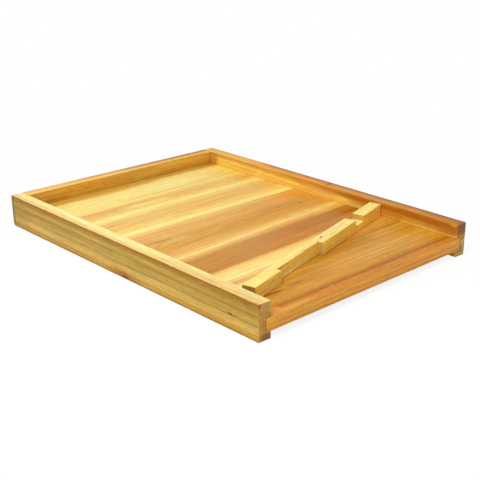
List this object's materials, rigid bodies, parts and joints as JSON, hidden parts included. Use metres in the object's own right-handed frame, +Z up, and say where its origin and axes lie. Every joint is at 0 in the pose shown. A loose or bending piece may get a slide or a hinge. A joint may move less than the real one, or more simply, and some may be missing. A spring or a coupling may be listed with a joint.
{
  "type": "beehive bottom board",
  "caption": "Wax-coated wooden bottom board for a ten-frame hive: a crosswise floor in dadoed side rails, closed at the rear, with a loose notched entrance reducer.",
  "frame": {"origin": "middle of the underside of the rails, on the surface that the board stands on", "axes": "+X to the right as seen from the entrance, +Y from the entrance to the rear, +Z up"},
  "size_m": [0.4128, 0.5588, 0.0495],
  "materials": {
    "rail_left": "olive-tan softwood, waxed, satin",
    "rail_right": "reddish-tan softwood, waxed, satin",
    "floor_rear": "pale sapwood, waxed, satin",
    "floor_second": "pale tan softwood, waxed, satin",
    "floor_middle": "tan heartwood, waxed, satin",
    "floor_fourth": "pinkish-brown heartwood, waxed, satin",
    "floor_front": "orange-tan heartwood, waxed, satin",
    "cleat": "orange-brown softwood, waxed, satin",
    "reducer": "pale yellow sapwood, waxed, satin",
    "brad": "bright wire, waxed over"
  },
  "bodies": {
    "board": {"side_rail_left": "rail_left", "side_rail_right": "rail_right", "floor_board_1": "floor_rear", "floor_board_2": "floor_second", "floor_board_3": "floor_middle", "floor_board_4": "floor_fourth", "floor_board_5": "floor_front", "rear_cleat_upper": "cleat", "rear_cleat_lower": "cleat", "floor_brad_left_1": "brad", "floor_brad_left_2": "brad", "floor_brad_left_3": "brad", "floor_brad_left_4": "brad", "floor_brad_left_5": "brad", "floor_brad_left_6": "brad", "floor_brad_left_7": "brad", "floor_brad_left_8": "brad", "floor_brad_left_9": "brad", "floor_brad_left_10": "brad", "corner_brad_left": "brad", "floor_brad_right_1": "brad", "floor_brad_right_2": "brad", "floor_brad_right_3": "brad", "floor_brad_right_4": "brad", "floor_brad_right_5": "brad", "floor_brad_right_6": "brad", "floor_brad_right_7": "brad", "floor_brad_right_8": "brad", "floor_brad_right_9": "brad", "floor_brad_right_10": "brad", "corner_brad_right": "brad", "upper_cleat_brad_1": "brad", "upper_cleat_brad_2": "brad", "upper_cleat_brad_3": "brad", "upper_cleat_brad_4": "brad", "lower_cleat_brad_1": "brad", "lower_cleat_brad_2": "brad", "lower_cleat_brad_3": "brad", "lower_cleat_brad_4": "brad"},
    "reducer": {"entrance_reducer": "reducer"}
  },
  "joints": [
    {"name": "reducer_slide", "type": "slide", "parent": "board", "child": "reducer", "axis": [0, -1, 0], "range_m": [-0.379, 0.095]}
  ]
}
